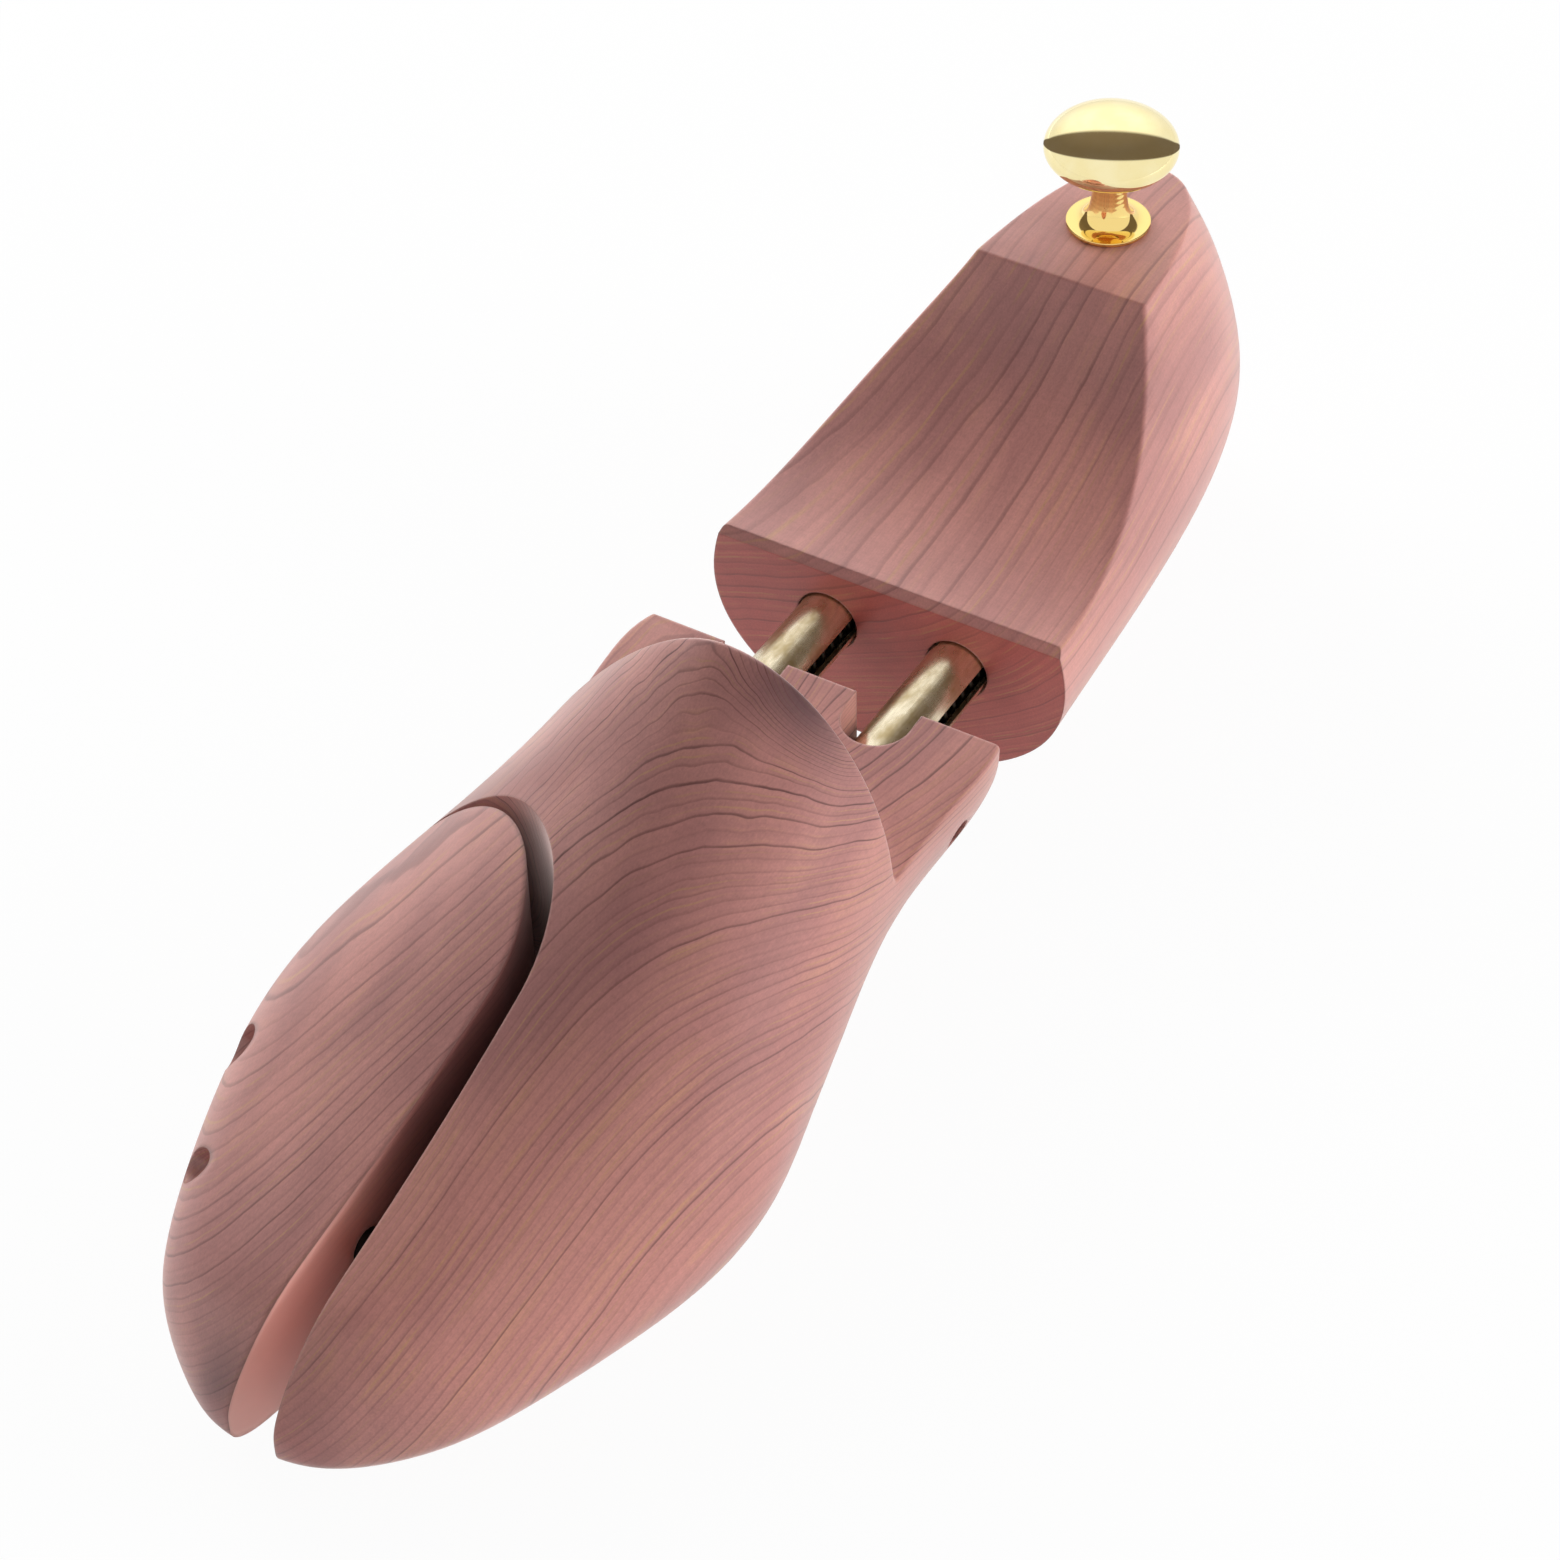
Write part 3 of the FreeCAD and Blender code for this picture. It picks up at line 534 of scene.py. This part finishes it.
def smooth_copy(node):
    """Copy of a CAD node with equal corners joined, smooth except at sharp edges."""
    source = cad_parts[node].data
    corners = np.empty(len(source.vertices) * 3, np.float32)
    source.vertices.foreach_get("co", corners)
    index = np.empty(len(source.loops), np.int32)
    source.loops.foreach_get("vertex_index", index)
    corners = corners.reshape(-1, 3)
    cells = np.round(corners / (JOIN * MM))
    _, first, joined = np.unique(cells, axis=0, return_index=True, return_inverse=True)
    faces = joined.reshape(-1)[index].reshape(-1, 3)
    apart = (faces != np.roll(faces, 1, 1)).all(1)
    piece = new_piece(node + "_finish", corners[first].tolist(), faces[apart].tolist())
    piece.data.shade_smooth()
    piece.data.set_sharp_from_angle(angle=np.radians(SHARP_ANGLE))
    return piece


def dress(piece, node, body, material):
    """Gives a piece its material and puts it in place of a CAD node."""
    piece.data.materials.append(material)
    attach(piece, body)
    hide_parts(node)


def dress_copy(node, body, material):
    """Puts a smooth copy in place of a CAD node."""
    dress(smooth_copy(node), node, body, material)


def rounding(start, corner, end, pull, count):
    """Points of a cubic curve from start to end, whose two inner poles lie on the way to a corner by a
    share pull: sum of binomial(3, k) t^k (1 - t)^(3 - k) pole_k."""
    start, corner, end = (np.array(point, float) for point in (start, corner, end))
    poles = start, start + pull * (corner - start), end + pull * (corner - end), end
    t = np.linspace(0, 1, count)[:, None]
    weights = (1 - t) ** 3, 3 * t * (1 - t) ** 2, 3 * t ** 2 * (1 - t), t ** 3
    return sum(weight * pole for weight, pole in zip(weights, poles))


# The knob's radii, and heights above its foot
KNOB_FOOT = 7.1                # radius of the foot
KNOB_STEM = 2.9                # radius of the stem
KNOB_EDGE = 0.35               # rounding of the foot's lower edge
KNOB_EDGE_SHARE = 0.3          # where the rounding's middle lies
KNOB_PLATE = 0.8               # where the foot's upright edge ends
KNOB_PLATE_GAP = 0.1           # from the upright edge's last ring to the flare
KNOB_FLARE = 8.0               # where the foot's flare meets the stem
KNOB_NECK = 11.0               # where the head starts
KNOB_RIM = 15.4                # where the head is widest
FLARE_PULL, HEAD_PULL = 0.75, 0.55
FOOT_STEPS, FLARE_STEPS, STEM_STEPS, HEAD_STEPS, CROWN_STEPS = 3, 40, 8, 40, 48
KNOB_COLUMNS = 160


def knob_piece():
    """Turned knob: a profile of radius and height carried round the knob's axis, r (cos a, sin a), h."""
    low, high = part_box("knob")
    centre = (low + high) / 2
    head, crown = (high.x - low.x) / 2 / MM, (high.z - low.z) / MM
    edge = KNOB_EDGE_SHARE * KNOB_EDGE
    foot, flare = (KNOB_FOOT, KNOB_PLATE), (KNOB_STEM, KNOB_FLARE)
    neck, rim = (KNOB_STEM, KNOB_NECK), (head, KNOB_RIM)
    profile = np.concatenate([
        [[KNOB_FOOT - KNOB_EDGE, 0.0], [KNOB_FOOT - edge, edge]],
        np.linspace([KNOB_FOOT, KNOB_EDGE], [KNOB_FOOT, KNOB_PLATE - KNOB_PLATE_GAP], FOOT_STEPS),
        rounding(foot, (KNOB_STEM, KNOB_PLATE), flare, FLARE_PULL, FLARE_STEPS),
        np.linspace(flare, neck, STEM_STEPS)[1:-1],
        rounding(neck, (head, KNOB_NECK), rim, HEAD_PULL, HEAD_STEPS),
        rounding(rim, (head, crown), (0.0, crown), HEAD_PULL, CROWN_STEPS)[1:-1],
    ]) * MM
    angle = np.linspace(0, 2 * np.pi, KNOB_COLUMNS, endpoint=False)
    ring = np.stack([np.cos(angle), np.sin(angle)], -1)
    around = profile[:, None, :1] * ring[None]
    height = np.broadcast_to(profile[:, None, 1:], (*around.shape[:2], 1))
    points = np.concatenate([around, height], -1) + np.array([centre.x, centre.y, low.z])
    return closed_sweep("knob_finish", points)


END_TURNS = 1.5                # close turns at each end of a spring
END_PITCH = 1.02               # their pitch, in wire thicknesses
TURN_STEPS = 28
WIRE_COLUMNS = 10


def spring_piece(node, along, turns, wire):
    """Compression spring in a CAD sleeve's space: a round wire carried along a helix whose pitch is
    tight for the first and last turns. along is the sleeve's axis, 0 for X and 1 for Y."""
    low, high = (np.array(corner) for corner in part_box(node))
    others = [axis for axis in range(3) if axis != along]
    radius = (high - low)[others[0]] / 2 - wire / 2
    turn = np.linspace(0, 1, int(turns * TURN_STEPS)) * turns
    ends = np.clip(turn / END_TURNS, 0, 1) + np.clip((turn - turns + END_TURNS) / END_TURNS, 0, 1)
    tight = wire * END_PITCH * END_TURNS
    free = (high - low)[along] - wire - 2 * tight
    rise = tight * ends + free * np.clip((turn - END_TURNS) / (turns - 2 * END_TURNS), 0, 1)
    angle = 2 * np.pi * turn
    out = np.zeros((len(turn), 3))
    out[:, others[0]] = np.cos(angle)
    out[:, others[1]] = np.sin(angle)
    axis = np.eye(3)[along]
    middle = (low + high) / 2
    middle[along] = low[along] + wire / 2
    path = middle + out * radius + rise[:, None] * axis
    around = np.linspace(0, 2 * np.pi, WIRE_COLUMNS, endpoint=False)[None, :, None]
    skin = (np.cos(around) * out[:, None] + np.sin(around) * axis) * wire / 2
    return closed_sweep(node + "_coil", path[:, None] + skin)


# The pieces

main_cedar = cedar(
    "main_cedar", main_rings, tone=1.0, sheen=0.8, radius=0.7, line=0.65, rim=0.4, ends=0.2, slot=-1,
    marks=[Knot((1, 16, 61), (5, 8, 7), 0.85), Knot((45, 13, 46), (20, 12, 10), 0.3)])
side_cedar = cedar(
    "side_cedar", side_rings, tone=0.98, sheen=0.3, radius=1.6, line=0.60, rim=0.1, ends=0.2, slot=1,
    marks=[Knot((118, -8, 16), (4, 3.5, 5), 0.6)])
# The heel's plum mark darkens the top of its hollow ramp: painted shade.
heel_cedar = cedar(
    "heel_cedar", heel_rings, tone=1.09, sheen=0.7, radius=0.7, line=0.34, rim=0.15, ends=0.75,
    marks=[Knot((-103, 5, 49), (8, 16, 7), 0.22)])
tube_look = tube_metal()
knob_look = knob_metal(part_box("knob")[0].z / MM)
zinc = steel("zinc_steel", rgb(196, 194, 186), rgb(120, 114, 104), rough=0.25)
# Spring wire darkened as painted shade, so that the springs sink into the shade of the slots.
wire_steel_and_shade = steel("spring_wire", rgb(56, 52, 48), rgb(34, 31, 28), rough=0.35)
black_steel = steel("black_steel", rgb(46, 42, 40), rgb(26, 24, 23), rough=0.40)

dress_copy("forepart_main", "forepart", main_cedar)
dress_copy("forepart_side", "toe_side", side_cedar)
dress_copy("heel_block", "heel", heel_cedar)
dress_copy("pin_plug", "heel", heel_cedar)
dress(knob_piece(), "knob", "heel", knob_look)
dress_copy("knob_stud", "heel", zinc)
dress_copy("heel_cross_pin", "heel", zinc)
for side in ("left", "right"):
    dress_copy("tube_" + side, "forepart", tube_look)
    dress_copy("tube_screw_" + side, "forepart", zinc)
    coil = spring_piece("tube_spring_" + side, along=0, turns=14, wire=1.1 * MM)
    dress(coil, "tube_spring_" + side, "forepart", wire_steel_and_shade)
    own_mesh(coil)
for end in ("front", "rear"):
    dress_copy("guide_pin_" + end, "forepart", black_steel)
dress_copy("toe_screw", "forepart", zinc)
dress_copy("toe_washer", "forepart", zinc)
toe_coil = spring_piece("toe_spring", along=1, turns=8, wire=0.9 * MM)
dress(toe_coil, "toe_spring", "forepart", wire_steel_and_shade)
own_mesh(toe_coil)


# Floor, light and camera

def bearing(azimuth, height):
    """Unit vector at an azimuth from +X and a height above the floor, in radians."""
    level = np.cos(height)
    return Vector((np.cos(azimuth) * level, np.sin(azimuth) * level, np.sin(height)))


CAMERA_TARGET = Vector((-10.15, 5.25, 30.5)) * MM
CAMERA_DISTANCE = 636.58 * MM
CAMERA_AZIMUTH, CAMERA_HEIGHT, CAMERA_ROLL = np.radians([31.71, 43.55, -1.53])
CAMERA_BACK = bearing(CAMERA_AZIMUTH, CAMERA_HEIGHT)
CAMERA_SPOT = CAMERA_TARGET + CAMERA_BACK * CAMERA_DISTANCE
SENSOR_WIDTH, FOCAL_LENGTH = 36, 95.99
CLIP_START = 10 * MM

WHITE = (1.0, 1.0, 1.0, 1.0)
CANOPY = (0.17, 0.136, 0.112, 1.0)
BAND_START, BAND_END = (0.35, 0.40), (0.97, 1.06)  # tangents of the lean
FLOOR_COLOUR = (0.9, 0.9, 0.9, 1.0)
FLOOR_ROUGHNESS = 0.9
FLOOR_HALF = 3000 * MM
FLOOR_DROP = 0.2 * MM          # keeps the floor clear of the soles
MIRROR_WHITE, CAMERA_WHITE = 0.75, 0.2  # share of plain white, and more of it for the camera

CEILING_HEIGHT, CEILING_EDGE, CEILING_CORE = np.radians([76, 60, 50])
FRONT_START = (-0.3, 0.8)      # cosines to the camera's side where the front wall starts and is full
GLOW_HEIGHT = np.radians(42)   # brighter part of the far wall, for mirrors
GLOW_START = (0.7, 1.0)
MIRROR_LIGHT, GLOW_LIGHT = 0.95, 0.3

LAMP_TARGET = Vector((0, 0, 30)) * MM
LAMP_SIZE = 700 * MM


def seen(look):
    """1 for camera, mirror and glass rays but 0 for the light that falls on the object, and 1 for camera
    rays alone."""
    kinds = ("Is Camera Ray", "Is Glossy Ray", "Is Transmission Ray")
    camera, mirror, glass = [look.node("ShaderNodeLightPath", output=kind) for kind in kinds]
    return camera.most(mirror).most(glass), camera


def knob_head():
    """Centre of the knob's head."""
    low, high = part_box("knob")
    return Vector(((low.x + high.x) / 2, (low.y + high.y) / 2, low.z + KNOB_RIM * MM))


def band(look, way):
    """1 in the directions that a ball at the knob shows the camera in a band from edge to edge: for a unit
    vector b to the camera and c upwards across it, (r c) / (1 + r b) is the tangent of the angle by which
    the ball's normal leans up from b where it mirrors the direction r."""
    back = (CAMERA_SPOT - knob_head()).normalized()
    rise = (Vector((0, 0, 1)) - back * back.z).normalized()
    lean = look.dot(way, rise) / (1 + look.dot(way, back))
    return lean.window(BAND_START, BAND_END)


def make_floor():
    """Pale floor, white to the eye apart from a share of the shadow. Mirrors see a brown strip on it, where
    the band as seen from the knob's head goes on below the horizon."""
    corners = [(x * FLOOR_HALF, y * FLOOR_HALF, 0) for x, y in ((-1, -1), (1, -1), (1, 1), (-1, 1))]
    floor = new_piece("floor", corners, [(0, 1, 2, 3)])
    floor.location.z = -FLOOR_DROP
    look = Look("pale_floor", Base_Color=FLOOR_COLOUR, Roughness=FLOOR_ROUGHNESS)
    eye, camera = seen(look)
    place = look.node("ShaderNodeTexCoord", output="Object")
    way = look.vector("NORMALIZE", {0: look.vector("SUBTRACT", {0: place, 1: knob_head()})})
    dark = band(look, way) * (eye - camera)
    white = look.node("ShaderNodeEmission", None, {"Color": look.blend(dark, WHITE, CANOPY)})
    paper = Field(look, look.shader.outputs[0])
    share = eye * MIRROR_WHITE + camera * CAMERA_WHITE + dark * (1 - MIRROR_WHITE)
    mixed = look.node("ShaderNodeMixShader", None, {0: share, 1: paper, 2: white})
    look.tree.links.new(mixed.socket, look.tree.nodes["Material Output"].inputs["Surface"])
    floor.data.materials.append(look.material)


class Studio(Look):
    """The world's nodes, with the same maths as a material's."""

    def __init__(self, name):
        world = bpy.data.worlds.new(name)
        world.use_nodes = True
        self.tree = world.node_tree
        self.shader = self.tree.nodes["Background"]
        bpy.context.scene.world = world


def make_world(wall, front, ceiling):
    """White walls all round, dimmer on the camera's side, under a dark ceiling that leans to the camera.
    The eye sees plain white, and mirrors see white walls with the brown band."""
    look = Studio("studio")
    way = look.node("ShaderNodeTexCoord", output="Generated")
    overhead = look.dot(way, bearing(CAMERA_AZIMUTH, CEILING_HEIGHT))
    overhead = overhead.step(np.cos(CEILING_EDGE), np.cos(CEILING_CORE))
    near = look.dot(way, bearing(CAMERA_AZIMUTH, 0)).step(*FRONT_START)
    sides = wall + near * (front - wall)
    lit = sides + overhead * (ceiling - sides)
    glow = look.dot(way, bearing(CAMERA_AZIMUTH + np.pi, GLOW_HEIGHT)).step(*GLOW_START)
    mirror = MIRROR_LIGHT + glow * GLOW_LIGHT
    eye, camera = seen(look)
    tint = look.blend(band(look, way) * (eye - camera), WHITE, CANOPY)
    look.feed(Color=tint, Strength=camera + (1 - camera) * (eye * mirror + (1 - eye) * lit))


def soft_box(name, place, power):
    """Square lamp that faces the tree, at a place in metres."""
    lamp = bpy.data.lights.new(name, "AREA")
    lamp.size = LAMP_SIZE
    lamp.energy = power
    box = bpy.data.objects.new(name, lamp)
    box.visible_glossy = False
    box.location = place
    box.rotation_euler = (LAMP_TARGET - Vector(place)).to_track_quat("-Z", "Y").to_euler()
    bpy.context.scene.collection.objects.link(box)


def make_camera():
    """Long lens above the toe, looking at the target along the camera's bearing, rolled a little."""
    level = Vector((-np.sin(CAMERA_AZIMUTH), np.cos(CAMERA_AZIMUTH), 0))
    rise = CAMERA_BACK.cross(level)
    right = level * np.cos(CAMERA_ROLL) + rise * np.sin(CAMERA_ROLL)
    up = rise * np.cos(CAMERA_ROLL) - level * np.sin(CAMERA_ROLL)
    lens = bpy.data.cameras.new("camera")
    lens.sensor_width = SENSOR_WIDTH
    lens.lens = FOCAL_LENGTH
    lens.clip_start = CLIP_START
    camera = bpy.data.objects.new("camera", lens)
    turn = Matrix((right, up, CAMERA_BACK)).transposed().to_4x4()
    camera.matrix_world = Matrix.Translation(CAMERA_SPOT) @ turn
    bpy.context.scene.collection.objects.link(camera)
    bpy.context.scene.camera = camera


bpy.context.scene.view_settings.view_transform = "Standard"
make_floor()
make_world(wall=1.7, front=0.0, ceiling=0.1)
soft_box("back_box", (-0.58, -1.0, 0.34), power=11.5)
soft_box("right_box", (-0.49, 1.06, 0.28), power=12.0)
soft_box("front_box", (1.02, 0.59, 0.28), power=2.6)
make_camera()
